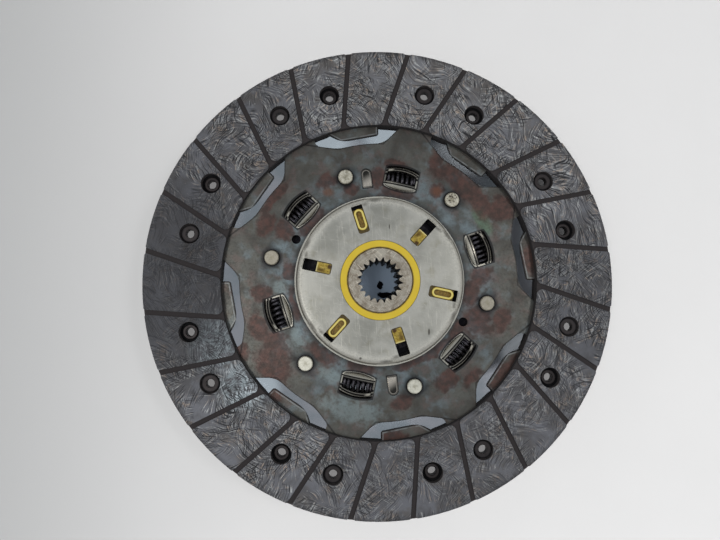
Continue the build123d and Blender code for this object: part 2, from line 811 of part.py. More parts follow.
washer_top = flange_bottom - running_clearance
washer_bottom = washer_top - friction_washer_thickness
with BuildPart() as rear_friction_washer:
    with BuildSketch(Plane.XY.offset(washer_bottom)):
        Circle(friction_washer_outer_diameter / 2)
        Circle(friction_washer_inner_diameter / 2, mode=Mode.SUBTRACT)
    extrude(amount=friction_washer_thickness)
rear_friction_washer.part.label = "rear_friction_washer"

with BuildPart() as diaphragm_spring:
    with BuildSketch(Plane.XZ):
        with BuildLine():
            Polyline(
                (friction_washer_inner_diameter / 2, washer_bottom),
                (friction_washer_outer_diameter / 2, counter_plate_top + diaphragm_sheet),
                (friction_washer_outer_diameter / 2, counter_plate_top),
                (friction_washer_inner_diameter / 2, washer_bottom - diaphragm_sheet),
                close=True,
            )
        make_face()
    revolve(axis=Axis.Z)
    tab_outer = (diaphragm_tab_diameter + diaphragm_sheet) / 2
    with BuildSketch(Plane.XY.offset(counter_plate_top)):
        with PolarLocations(0, diaphragm_tab_count, start_angle=diaphragm_tab_angle):
            with Locations((tab_outer, 0)):
                Rectangle(
                    tab_outer - friction_washer_outer_diameter / 2 + diaphragm_sheet,
                    diaphragm_tab_width,
                    align=(Align.MAX, Align.CENTER),
                )
    extrude(amount=diaphragm_sheet)
    with BuildSketch(Plane.XY.offset(counter_plate_top)):
        with PolarLocations(
            diaphragm_tab_diameter / 2, diaphragm_tab_count, start_angle=diaphragm_tab_angle
        ):
            Rectangle(diaphragm_sheet, diaphragm_tab_width)
    extrude(amount=-plate_thickness - diaphragm_tab_reach)
diaphragm_spring.part.label = "diaphragm_spring"

with BuildPart() as rear_bush:
    with BuildSketch(Plane.XY.offset(counter_plate_bottom)):
        Circle(bush_outer_diameter / 2)
    extrude(amount=plate_thickness)
    with BuildSketch(Plane.XY.offset(counter_plate_bottom)):
        Circle(bush_flange_diameter / 2)
    extrude(amount=-bush_flange_thickness)
    Hole(hub_journal_diameter / 2 + running_clearance)
rear_bush.part.label = "rear_bush"


# ---------------------------------------------------------------- coil springs
def coil_spring(diameter, wire, length, pitch):
    """Compression spring along Y, centred on the origin, its ends ground flat."""
    mean_radius = (diameter - wire) / 2
    with BuildPart() as spring:
        with BuildLine() as coil:
            Helix(pitch, length + 2 * wire, mean_radius, center=(0, 0, -length / 2 - wire))
        with BuildSketch(Plane(origin=coil.line @ 0, z_dir=coil.line % 0)):
            Circle(wire / 2)
        sweep(path=coil.line, is_frenet=True)
        split(bisect_by=Plane.XY.offset(-length / 2), keep=Keep.TOP)
        split(bisect_by=Plane.XY.offset(length / 2), keep=Keep.BOTTOM)
    return spring.part.rotate(Axis.X, 90)


pieces = [
    front_lining.part,
    rear_lining.part,
    front_lining_rivets.part,
    rear_lining_rivets.part,
    cushion_disc.part,
    drive_plate.part,
    counter_plate.part,
    stop_pins.part,
    front_friction_ring.part,
    rear_friction_washer.part,
    diaphragm_spring.part,
    rear_bush.part,
    hub.part,
    hub_flange.part,
    idle_plate.part,
    idle_cage.part,
    cap.part,
]

damper_coil = coil_spring(spring_diameter, spring_wire, spring_length, spring_pitch)
idle_coil = coil_spring(
    idle_spring_diameter, idle_spring_wire, idle_spring_length, idle_spring_pitch
)
for number in range(spring_count):
    with BuildPart() as damper_spring:
        with Locations((0, 0, spring_axis_z)):
            with PolarLocations(
                spring_circle_radius, 1, start_angle=spring_angle + number * 360 / spring_count
            ):
                add(damper_coil)
    damper_spring.part.label = f"damper_spring_{number + 1}"
    pieces.append(damper_spring.part)
for number in range(idle_spring_count):
    with BuildPart() as idle_spring:
        with Locations((0, 0, idle_spring_axis_z)):
            with PolarLocations(
                idle_spring_circle_diameter / 2,
                1,
                start_angle=idle_spring_angle + number * 360 / idle_spring_count,
            ):
                add(idle_coil)
    idle_spring.part.label = f"idle_spring_{number + 1}"
    pieces.append(idle_spring.part)

os.makedirs("parts", exist_ok=True)
for piece in pieces:
    export_step(piece, f"parts/{piece.label}.step")
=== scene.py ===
"""Looks for the clutch disc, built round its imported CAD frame."""

import math

import bmesh
import bpy
from mathutils import Matrix, Vector


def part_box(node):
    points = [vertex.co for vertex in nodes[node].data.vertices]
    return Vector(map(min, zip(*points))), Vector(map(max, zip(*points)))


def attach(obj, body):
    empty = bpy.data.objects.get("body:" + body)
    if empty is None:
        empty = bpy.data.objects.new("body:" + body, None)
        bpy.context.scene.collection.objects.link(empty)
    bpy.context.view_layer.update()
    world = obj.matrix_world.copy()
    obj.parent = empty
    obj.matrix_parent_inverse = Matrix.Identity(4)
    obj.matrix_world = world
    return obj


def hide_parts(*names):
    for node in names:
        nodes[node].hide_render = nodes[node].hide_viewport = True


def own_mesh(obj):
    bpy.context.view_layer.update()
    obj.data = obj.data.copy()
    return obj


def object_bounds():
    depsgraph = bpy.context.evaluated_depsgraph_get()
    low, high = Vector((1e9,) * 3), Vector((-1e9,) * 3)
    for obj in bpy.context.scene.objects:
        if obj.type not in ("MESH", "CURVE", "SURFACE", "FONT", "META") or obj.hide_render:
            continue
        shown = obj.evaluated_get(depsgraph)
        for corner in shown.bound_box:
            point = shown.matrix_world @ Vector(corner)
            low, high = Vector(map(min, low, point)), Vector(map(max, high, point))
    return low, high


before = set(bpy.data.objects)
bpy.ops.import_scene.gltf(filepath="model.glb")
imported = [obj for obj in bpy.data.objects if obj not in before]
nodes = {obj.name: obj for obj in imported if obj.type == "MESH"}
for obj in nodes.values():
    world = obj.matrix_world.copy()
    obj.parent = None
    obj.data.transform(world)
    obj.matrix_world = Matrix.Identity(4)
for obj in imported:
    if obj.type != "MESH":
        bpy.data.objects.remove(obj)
cad_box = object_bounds()
mm = 0.001


# ---------------------------------------------------------------- hub
# The hub is turned from steel and broached with twenty spline spaces. It was oiled and has been
# slid on and off its shaft, so its face is brown-grey, with tool rings and bright scratches.
class Shade:
    """One output in a node tree. Sums written on it add the nodes that work them out."""

    def __init__(self, tree, socket):
        self.tree, self.socket = tree, socket

    def node(self, kind, values=None, output=0, stops=None, **settings):
        """Any node: its settings and ramp stops first, then the values or links of its inputs."""
        made = self.tree.nodes.new(kind)
        for name, value in settings.items():
            setattr(made, name, value)
        for place, (position, colour) in enumerate(stops or ()):
            if place >= len(made.color_ramp.elements):
                made.color_ramp.elements.new(position)
            made.color_ramp.elements[place].position = position
            made.color_ramp.elements[place].color = colour
        for name, value in (values or {}).items():
            if isinstance(value, Shade):
                self.tree.links.new(value.socket, made.inputs[name])
            else:
                made.inputs[name].default_value = value
        return Shade(self.tree, made.outputs[output])

    def math(self, operation, first=None, second=0.0):
        first = self if first is None else first
        return self.node("ShaderNodeMath", {0: first, 1: second}, operation=operation)

    def least(self, other):
        return self.math("MINIMUM", self, other)

    def most(self, other):
        return self.math("MAXIMUM", self, other)

    def __add__(self, other):
        return self.math("ADD", self, other)

    def __radd__(self, other):
        return self.math("ADD", other, self)

    def __sub__(self, other):
        return self.math("SUBTRACT", self, other)

    def __rsub__(self, other):
        return self.math("SUBTRACT", other, self)

    def __mul__(self, other):
        return self.math("MULTIPLY", self, other)

    def __rmul__(self, other):
        return self.math("MULTIPLY", other, self)

    def __truediv__(self, other):
        return self.math("DIVIDE", self, other)

    def __abs__(self):
        return self.math("ABSOLUTE", self)

    def ramp(self, low, high, bottom=0.0, top=1.0):
        """Eased step from bottom to top as this value goes from low to high."""
        values = {"Value": self, "From Min": low, "From Max": high, "To Min": bottom, "To Max": top}
        return self.node("ShaderNodeMapRange", values, interpolation_type="SMOOTHSTEP")

    def mix(self, first, second):
        """Colour that goes from first to second as this value goes from 0 to 1."""
        values = {0: self, 6: first, 7: second}
        return self.node("ShaderNodeMix", values, output=2, data_type="RGBA")

    def stretch(self, x, y, z, turn=0.0):
        """This vector turned about Z, then scaled along each axis."""
        turned = self.node(
            "ShaderNodeMapping", {"Vector": self, "Rotation": (0, 0, turn)}, vector_type="POINT"
        )
        return turned.node("ShaderNodeVectorMath", {0: turned, 1: (x, y, z)}, operation="MULTIPLY")

    def wander(self, size, reach):
        """This vector moved about by cloudy noise, up to reach millimetres each way."""
        values = {"Vector": self, "Scale": 1 / size, "Detail": 2.0}
        cloud = self.node("ShaderNodeTexNoise", values, output=1)
        values = {0: cloud, 1: (0.5, 0.5, 0.5)}
        pull = cloud.node("ShaderNodeVectorMath", values, operation="SUBTRACT")
        values = {0: pull, 1: (2 * reach, 2 * reach, 0), 2: self}
        return pull.node("ShaderNodeVectorMath", values, operation="MULTIPLY_ADD")

    def blot(self, place, spread):
        """Distance from a place, where 1 is the edge of an oval with that half width and height."""
        values = {"Vector": self, "Location": (*place, 0), "Scale": (*spread, 1000)}
        local = self.node("ShaderNodeMapping", values, vector_type="TEXTURE")
        return local.node("ShaderNodeVectorMath", {0: local}, output=1, operation="LENGTH")

    def blots(self, *ovals):
        """The same for the nearest of several ovals, each given by its place and its spread."""
        nearest = self.blot(*ovals[0])
        for oval in ovals[1:]:
            nearest = nearest.least(self.blot(*oval))
        return nearest

    def part(self, axis):
        """One coordinate of this vector."""
        return self.node("ShaderNodeSeparateXYZ", {0: self}, output=axis)

    def noise(self, size, detail=3.0, roughness=0.55, distortion=0.0):
        """Cloudy noise from 0 to 1 whose lumps are about size millimetres."""
        values = {
            "Vector": self,
            "Scale": 1 / size,
            "Detail": detail,
            "Roughness": roughness,
            "Distortion": distortion,
        }
        return self.node("ShaderNodeTexNoise", values)

    def specks(self, size):
        """Distance to the nearest of many scattered points, about size millimetres apart."""
        return self.node("ShaderNodeTexVoronoi", {"Vector": self, "Scale": 1 / size})

    def bump(self, height_mm):
        """Relief of that many millimetres from this height, which runs from 0 to 1."""
        values = {"Height": self, "Distance": height_mm * mm, "Strength": 1.0}
        return self.node("ShaderNodeBump", values)


def paint(red, green, blue):
    """Linear colour of a chip given as 0 to 255."""
    chip = [value / 255 for value in (red, green, blue)]
    return tuple(v / 12.92 if v <= 0.04045 else ((v + 0.055) / 1.055) ** 2.4 for v in chip) + (1.0,)


def new_finish(name, metallic=0.0):
    """A material, its shader, and the point in millimetres that its patterns are drawn on."""
    material = bpy.data.materials.new(name)
    material.use_nodes = True
    tree = material.node_tree
    shader = tree.nodes["Principled BSDF"]
    shader.inputs["Metallic"].default_value = metallic
    place = Shade(tree, tree.nodes.new("ShaderNodeTexCoord").outputs["Object"])
    values = {0: place, "Scale": 1 / mm}
    return material, shader, place.node("ShaderNodeVectorMath", values, operation="SCALE")


def set_finish(shader, **inputs):
    """Links or sets inputs of a shader, named as its sockets with _ for each space."""
    for name, value in inputs.items():
        socket = shader.inputs[name.replace("_", " ")]
        if isinstance(value, Shade):
            value.tree.links.new(value.socket, socket)
        else:
            socket.default_value = value


def dress(material, *names):
    """Gives CAD nodes their finish."""
    for name in names:
        piece = nodes[name]
        piece.data.materials.clear()
        piece.data.materials.append(material)


def radius_of(point):
    """Distance from the hub axis in millimetres."""
    flat = point.node("ShaderNodeVectorMath", {0: point, 1: (1, 1, 0)}, operation="MULTIPLY")
    return flat.node("ShaderNodeVectorMath", {0: flat}, output=1, operation="LENGTH")


def angle_of(point):
    """Angle about the hub axis in degrees, anticlockwise from +X, from -180 to 180."""
    turn = point.math("ARCTAN2", point.part(1), point.part(0))
    return turn * (180 / math.pi)


def fold(point, count, first):
    """Radial and tangential place of a point beside the nearest of some evenly spaced angles."""
    step = 360 / count
    aside = (angle_of(point) - (first - step / 2)).math("FLOORED_MODULO", None, step) - step / 2
    radius, turn = radius_of(point), aside * (math.pi / 180)
    return radius * turn.math("COSINE", turn), radius * turn.math("SINE", turn)


def distance(out, across):
    """Distance from a place that is that far off in two directions."""
    return (out * out + across * across).math("SQRT")


def scratches(point, length, width, turn):
    """Fine straight scratches in one direction, 1 on a scratch and 0 between."""
    lines = point.stretch(1 / length, 1 / width, 0.2, turn).noise(1.0, detail=2.0)
    return lines.ramp(0.62, 0.72)


hub_bore, hub_face, hub_top = 10.5, 15.0, 6.1


def hub_steel():
    material, shader, point = new_finish("hub_steel", metallic=1.0)
    radius = radius_of(point)
    values = {"W": radius * 3.1, "Scale": 1.0, "Detail": 3.0}
    rings = radius.node("ShaderNodeTexNoise", values, noise_dimensions="1D")
    marks = scratches(point, 6.0, 0.3, 0.8) + scratches(point, 5.0, 0.25, 2.3) * 0.7
    speck = point.noise(0.5, detail=2.0).ramp(0.58, 0.68)
    stain = point.noise(4.0, detail=5.0, distortion=0.6)
    below_top = point.part(2).ramp(hub_top, hub_top - 0.5)
    # The bore is painted dark and the rim of the face a little darker, for the shade in the bore
    # and in the gap beside the cage ring.
    bore_shade = radius.ramp(hub_bore + 0.4, hub_bore) * below_top
    blend = (stain * 0.7 + rings * 0.3).ramp(0.35, 0.6)
    face_tone = blend.mix(paint(142, 130, 114), paint(188, 180, 164))
    marked = (marks + speck * 0.5).ramp(0.0, 1.2).mix(face_tone, paint(238, 228, 206))
    face_edge_shade = radius.ramp(hub_face - 0.25, hub_face)
    set_finish(
        shader,
        Base_Color=(bore_shade * 0.85).most(face_edge_shade * 0.25).mix(marked, paint(52, 52, 56)),
        Roughness=rings.ramp(0.2, 0.8, 0.34, 0.5) + bore_shade * 0.12,
        Normal=(rings * 0.6 + marks * 0.4).bump(0.03),
    )
    return material


def oiled_steel():
    material, shader, point = new_finish("oiled_steel", metallic=1.0)
    film = point.noise(2.0, detail=4.0)
    set_finish(
        shader,
        Base_Color=film.ramp(0.35, 0.7).mix(paint(22, 22, 26), paint(52, 50, 52)),
        Roughness=film.ramp(0.3, 0.7, 0.45, 0.65),
        Normal=film.bump(0.03),
    )
    return material


dress(hub_steel(), "hub")
dress(oiled_steel(), "hub_flange", "idle_plate")


# ---------------------------------------------------------------- idle damper cage
# A yellow polyamide moulding under the cap. Its ring centres the cap and its hollow bosses and
# blocks fill the cap's slots. Below the boss tops and at the ring's inner edge it is painted a
# darker amber, mottled with grime.
slot_angle = 48.0
boss_middle, boss_half_length, boss_top_height = 29.7, 2.8, 5.75
block_middle, block_inner_end, block_outer_end = 26.9, 23.6, 30.0


def cage_plastic():
    material, shader, point = new_finish("cage_plastic")
    height, radius = point.part(2), radius_of(point)
    cloud = point.noise(5.0, detail=3.0)
    grime = point.noise(1.0, detail=5.0, roughness=0.65)
    clean = cloud.mix(paint(234, 196, 34), paint(246, 214, 60))
    amber = grime.ramp(0.35, 0.65).mix(paint(104, 78, 22), paint(170, 136, 48))
    lip = radius.ramp(15.9, 15.5) * 0.8
    sunk = (height.ramp(boss_top_height, 4.9) * 0.95).most(lip).most(grime.ramp(0.6, 0.85) * 0.2)
    out, across = fold(point, 3, slot_angle + 60)
    reach = distance((abs(out - boss_middle) - boss_half_length).most(0.0), across)
    outside_ring = radius.ramp(22.0, 23.0)
    boss_top = height.ramp(5.3, 5.6) * outside_ring
    boss = (reach.ramp(2.05, 2.3) * 0.7 * boss_top).mix(sunk.mix(clean, amber), amber)
    # The tops of the bosses are painted paler, a painted highlight.
    boss_highlight = (boss_top * reach.ramp(2.2, 2.0) * 0.6).mix(boss, paint(244, 232, 150))
    # The gap round each boss is painted dark, for the shade in it.
    gap_shade = reach.ramp(2.2, 2.4) * outside_ring * height.ramp(boss_top_height, 5.4) * 0.75
    block_out, block_across = fold(point, 3, slot_angle)
    local = point.node("ShaderNodeCombineXYZ", {0: block_out, 1: block_across})
    on_block = abs(block_out - block_middle).ramp(3.7, 3.5) * abs(block_across).ramp(2.8, 2.6)
    # A dark corner and a dark streak on each block are painted shade.
    corner = local.blot((24.3, -1.0), (1.2, 1.2)).ramp(1.2, 0.5)
    streak = local.blot((28.2, 1.2), (2.2, 1.1)).ramp(1.4, 0.3) * 0.75
    hollow = grime.ramp(0.35, 0.65).mix(paint(158, 132, 42), paint(214, 186, 84))
    facet_shade = corner.most(streak).mix(hollow, paint(84, 56, 16))
    # The outer tip of each block is a painted highlight, and its sides and inner end are painted
    # shade.
    tip = block_out.ramp(block_outer_end - 0.4, block_outer_end) * 0.7
    tip_highlight = tip.mix(facet_shade, paint(248, 232, 160))
    inner_end = block_out.ramp(block_inner_end + 0.3, block_inner_end)
    side = abs(block_across).ramp(2.1, 2.35).most(inner_end) * 0.8
    block = side.mix(tip_highlight, paint(44, 32, 10))
    set_finish(
        shader,
        Base_Color=on_block.mix(gap_shade.mix(boss_highlight, paint(34, 26, 8)), block),
        Roughness=cloud.ramp(0.3, 0.7, 0.38, 0.5),
        Normal=grime.bump(0.02),
    )
    return material


dress(cage_plastic(), "idle_cage")


# ---------------------------------------------------------------- damper springs
# Cold-wound spring steel, black and oily. Each has closed ends that are ground flat, and sits
# between the ends of its windows, so it shortens there as the hub turns.
def coil_steel():
    material, shader, point = new_finish("coil_steel", metallic=1.0)
    film = point.noise(1.6, detail=4.0)
    set_finish(
        shader,
        Base_Color=film.ramp(0.4, 0.75).mix(paint(58, 56, 59), paint(116, 112, 116)),
        Roughness=film.ramp(0.3, 0.7, 0.28, 0.5),
        Normal=film.bump(0.02),
    )
    return material


coil_finish = coil_steel()


def wound_coil(name, centre, angle, outer, wire, length, end_pitch, turns):
    """Compression spring with closed, ground ends, wound along the tangent at its centre."""
    wire_sides, turn_steps, end_turns = 12, 28, 1.0
    body_turns = turns - 2 * end_turns
    body_pitch = (length - 2 * end_turns * end_pitch) / body_turns
    mesh = bmesh.new()
    circle = bmesh.ops.create_circle(
        mesh,
        segments=wire_sides,
        radius=wire / 2,
        matrix=Matrix.Translation(((outer - wire) / 2, 0, -length / 2))
        @ Matrix.Rotation(math.pi / 2, 4, "X"),
    )
    last = circle["verts"] + list({e for v in circle["verts"] for e in v.link_edges})
    for count, pitch in ((end_turns, end_pitch), (body_turns, body_pitch), (end_turns, end_pitch)):
        steps = round(count * turn_steps)
        last = bmesh.ops.spin(
            mesh,
            geom=last,
            axis=(0, 0, 1),
            cent=(0, 0, 0),
            dvec=(0, 0, pitch / turn_steps),
            angle=math.tau * steps / turn_steps,
            steps=steps,
        )["geom_last"]
    bmesh.ops.holes_fill(mesh, edges=[e for e in mesh.edges if e.is_boundary], sides=wire_sides)
    for side in (1, -1):
        cut = bmesh.ops.bisect_plane(
            mesh,
            geom=mesh.verts[:] + mesh.edges[:] + mesh.faces[:],
            plane_co=(0, 0, side * length / 2),
            plane_no=(0, 0, side),
            clear_outer=True,
        )
        rim = [e for e in cut["geom_cut"] if isinstance(e, bmesh.types.BMEdge) and e.is_boundary]
        bmesh.ops.holes_fill(mesh, edges=rim, sides=0)
    bmesh.ops.recalc_face_normals(mesh, faces=mesh.faces[:])
    place = (
        Matrix.Rotation(angle, 4, "Z")
        @ Matrix.Translation((centre.xy.length, 0, centre.z))
        @ Matrix.Rotation(math.pi / 2, 4, "X")
        @ Matrix.Rotation(angle * 7, 4, "Z")
    )
    bmesh.ops.transform(mesh, matrix=place, verts=mesh.verts[:])
    for face in mesh.faces:
        face.smooth = len(face.verts) == 4
    data = bpy.data.meshes.new(name)
    mesh.to_mesh(data)
    mesh.free()
    data.materials.append(coil_finish)
    piece = bpy.data.objects.new(name, data)
    bpy.context.scene.collection.objects.link(piece)
    return piece


def seat_springs(count, node, joint, body, keep, **sizes):
    """Puts coils in place of a set of CAD springs, each hung on the body that carries them."""
    for number in range(1, count + 1):
        low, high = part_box(f"{node}_{number}")
        centre = (low + high) / 2
        angle = math.atan2(centre.y, centre.x)
        piece = wound_coil(f"{node.replace('spring', 'coil')}_{number}", centre, angle, **sizes)
        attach(piece, body)
        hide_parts(f"{node}_{number}")
        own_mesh(piece)


seat_springs(
    6,
    "damper_spring",
    "main_damper",
    "main_springs",
    keep=0.66,
    outer=11.2 * mm,
    wire=1.7 * mm,
    length=14.0 * mm,
    end_pitch=1.3 * mm,
    turns=6.8,
)
seat_springs(
    3,
    "idle_spring",
    "idle_damper",
    "idle_springs",
    keep=0.74,
    outer=4.6 * mm,
    wire=0.8 * mm,
    length=9.4 * mm,
    end_pitch=0.8 * mm,
    turns=7.5,
)


# ---------------------------------------------------------------- side plates and friction parts
# The two side plates are pressed from phosphated steel sheet. Their lips are drawn up over the
# springs, and are painted dark grey with painted highlights along them; the sheet under the cap is
# painted dark for the shade there. The friction parts between are moulded plastic.
spring_circle, spring_angle = 50.1, 17.9
locator_circle, locator_bend, locator_angle = 49.5, 51.7, 97.1


def plate_steel():
    material, shader, point = new_finish("plate_steel", metallic=1.0)
    cloud = point.noise(9.0, detail=4.0)
    fine = point.noise(0.5, detail=3.0)
    beside, along = fold(point, 6, spring_angle)
    aside = beside - spring_circle
    arch = 1 - (along / 7.1).math("POWER", None, 2.0)
    jitter = (fine - 0.5) * 0.25
    past_outer = aside - 2.2 - arch * 1.3 + jitter
    past_inner = jitter - aside - 2.2
    # The lines along the lips and at the window ends are painted highlights.
    inner_line = past_outer.ramp(0.4, 0.25) * past_outer.ramp(-0.4, -0.2) * 0.45
    outer_line = past_outer.ramp(1.2, 1.35) * past_outer.ramp(1.75, 1.6)
    outer_line = outer_line * along.ramp(5.0, -4.0, 0.25, 0.7)
    rim_side = inner_line.most(outer_line)
    glint = along.ramp(3.6, 5.6) * along.ramp(7.0, 6.6)
    glint = glint * past_outer.ramp(1.2, 0.9) * past_outer.ramp(-0.2, 0.1) * 0.9
    hub_line = past_inner.ramp(0.3, 0.5) * past_inner.ramp(0.95, 0.8) * 0.35
    hub_side = hub_line.most(past_inner.ramp(1.3, 1.6))
    ends = abs(along).ramp(7.3, 7.5) * abs(aside + 1.2).ramp(2.0, 1.6)
    ends = ends * along.ramp(0.0, -1.0, 0.4, 0.9)
    shine = aside.ramp(-0.1, 0.1).mix(hub_side, rim_side.most(glint)).most(ends)
    on_lip = abs(aside).ramp(8.4, 7.6) * abs(along).ramp(8.4, 7.8)
    # The sheet under the cap is painted dark, for the shade there.
    under_cap_shade = radius_of(point).ramp(42.0, 40.5)
    bare = cloud.ramp(0.35, 0.7).mix(paint(120, 114, 106), paint(176, 170, 158))
    sheet = under_cap_shade.mix(bare, paint(30, 29, 31))
    lip = shine.mix(paint(38, 36, 36), paint(206, 200, 184))
    out, across = fold(point, 2, locator_angle)
    beyond = out - locator_circle
    tongue = abs(beyond).ramp(4.7, 4.5) * abs(across).ramp(2.6, 2.4) * beyond.ramp(-3.9, -3.6)
    end = (beyond + (fine - 0.5) * 3.0 + across * 0.5).ramp(2.6, -2.8)
    reach = distance((out - locator_bend).most(0.0), across)
    lined = (reach.ramp(1.45, 1.65) * reach.ramp(2.05, 1.9) * 0.6).most(end)
    pressed = lined.mix(paint(58, 56, 52), paint(212, 202, 186))
    set_finish(
        shader,
        Base_Color=(tongue * reach.ramp(2.25, 2.1)).mix(on_lip.mix(sheet, lip), pressed),
        Roughness=fine.ramp(0.3, 0.7, 0.24, 0.4),
        Normal=fine.bump(0.015),
    )
    return material


def friction_plastic():
    material, shader, point = new_finish("friction_plastic")
    cloud = point.noise(3.0, detail=4.0)
    set_finish(
        shader,
        Base_Color=cloud.mix(paint(44, 42, 40), paint(70, 66, 60)),
        Roughness=cloud.ramp(0.3, 0.7, 0.5, 0.7),
        Normal=point.noise(0.6).bump(0.02),
    )
    return material


dress(plate_steel(), "drive_plate", "counter_plate", "diaphragm_spring")
dress(friction_plastic(), "front_friction_ring", "rear_friction_washer", "rear_bush")


# ---------------------------------------------------------------- stop pins
# Six turned steel pins tie the two side plates together, riveted over at both ends, and stop the
# damper's travel. Their heads are plated, with a few rust pits. The two heads at the bottom are
# painted paler as a painted highlight, and the two at the sides are painted darker.
pin_circle, pin_angle = 52.1, 48.2
rusty_head = ((34.6, 39.6), (2.6, 2.4))
darker_heads = (((51.0, -10.8), (9, 9)), ((-51.0, 10.8), (9, 9)))
lit_heads = (((-34.9, -38.7), (9, 9)), ((16.1, -49.5), (9, 9)))


def pin_steel():
    material, shader, point = new_finish("pin_steel", metallic=1.0)
    cloud = point.noise(2.4, detail=4.0)
    mottle = point.noise(0.9, detail=3.0, roughness=0.65)
    rusted = point.blot(*rusty_head).ramp(1.2, 0.8) * mottle.ramp(0.5, 0.58)
    pits = rusted.most(point.specks(1.1).ramp(0.12, 0.05) * 0.6)
    blend = (cloud * 0.4 + mottle * 0.6).ramp(0.35, 0.65)
    plated = blend.mix(paint(172, 165, 144), paint(228, 222, 204))
    # The two heads at the sides are painted darker, and the two at the bottom paler as a painted
    # highlight.
    darkened = point.blots(*darker_heads).ramp(1.0, 0.9) * 0.75
    head_highlight = point.blots(*lit_heads).ramp(1.0, 0.9) * 0.42
    toned = darkened.mix(head_highlight.mix(plated, paint(246, 244, 228)), paint(158, 150, 134))
    beside, along = fold(point, 6, pin_angle)
    centre = distance(beside - pin_circle, along)
    dimpled = ((centre + mottle).ramp(2.2, 0.6) * 0.4).mix(toned, paint(142, 134, 106))
    set_finish(
        shader,
        Base_Color=pits.mix(dimpled, paint(66, 54, 40)),
        Roughness=cloud.ramp(0.3, 0.7, 0.4, 0.55),
        Normal=(cloud * 0.5 - pits).bump(0.06),
    )
    return material


dress(pin_steel(), "stop_pins")


# ---------------------------------------------------------------- cushion disc
# One sheet of tempered spring steel, stamped out with its eight paddles. Heat has tinted it from
# grey-green to blue-grey and left brown blotches. Shade is painted round the pins, along the edges
# of its holes, windows, paddles and disc, beside and under the cap and under the linings, and a
# pale line along each paddle's edge is a painted highlight.
cap_radius, buried_radius = 39.6, 75.5
paddle_angle, disc_edge_radius = 58.0, 66.15
# Angle and radius of each blotch, then its half width in degrees and in millimetres.
brown_patches = (
    ((47, 61.5), (18, 5.5)),
    ((31, 68), (5, 7)),
    ((65, 64), (3, 5)),
    ((57.5, 50.5), (4, 3.2)),
    ((79, 43), (11, 3.5)),
    ((90, 50), (4, 6.5)),
    ((83, 57), (5, 1.8)),
    ((107, 46), (4, 3)),
    ((118, 54), (5, 4)),
    ((142, 64), (8, 2.5)),
    ((154, 60), (5, 4)),
    ((152, 51), (5, 4.5)),
    ((140, 43.5), (11, 3.5)),
    ((175, 43), (6, 3)),
    ((-174, 56.5), (3.5, 5)),
    ((-159, 61), (7, 4)),
    ((-148, 57), (8, 5)),
    ((-141, 64), (8, 6.5)),
    ((-153, 72.5), (3.5, 3)),
    ((-127, 44), (10, 3.5)),
    ((-102, 42), (10, 2.5)),
    ((-80, 58.5), (5, 3.5)),
    ((-56, 57), (6, 4)),
    ((-46, 63), (5, 3)),
    ((-52, 42), (12, 2.5)),
    ((-22, 50), (8, 8)),
    ((-17, 61), (5, 4)),
    ((3, 48), (7, 5)),
    ((-165, 42), (12, 2)),
    ((-70, 41.5), (12, 2)),
    ((-35, 44), (8, 3)),
    ((-8, 44), (9, 4.5)),
    ((-133, 73), (3.5, 4)),
    ((-85, 73.5), (5, 3)),
    ((-37, 73.5), (8, 3.5)),
    ((8, 73), (6, 3)),
)
pale_patches = (
    ((-176, 47), (4, 3)),
    ((-146, 47), (6, 3)),
    ((-118, 50), (7, 3.5)),
    ((-103, 62), (14, 6)),
    ((-146, 53), (4, 2.5)),
)
green_patch = ((30, 57), (8, 4))
# Place and spread of each rust spot, in millimetres.
rust_spots = (((-24.4, 42.3), (2.6, 2.0)), ((27.8, 42.8), (2.8, 2.4)))


def past_edge(out, across, place, facing):
    """How far a point lies past a straight edge through a place, which faces that many degrees."""
    turn = math.radians(facing)
    return (out - place[0]) * math.cos(turn) + (across - place[1]) * math.sin(turn)


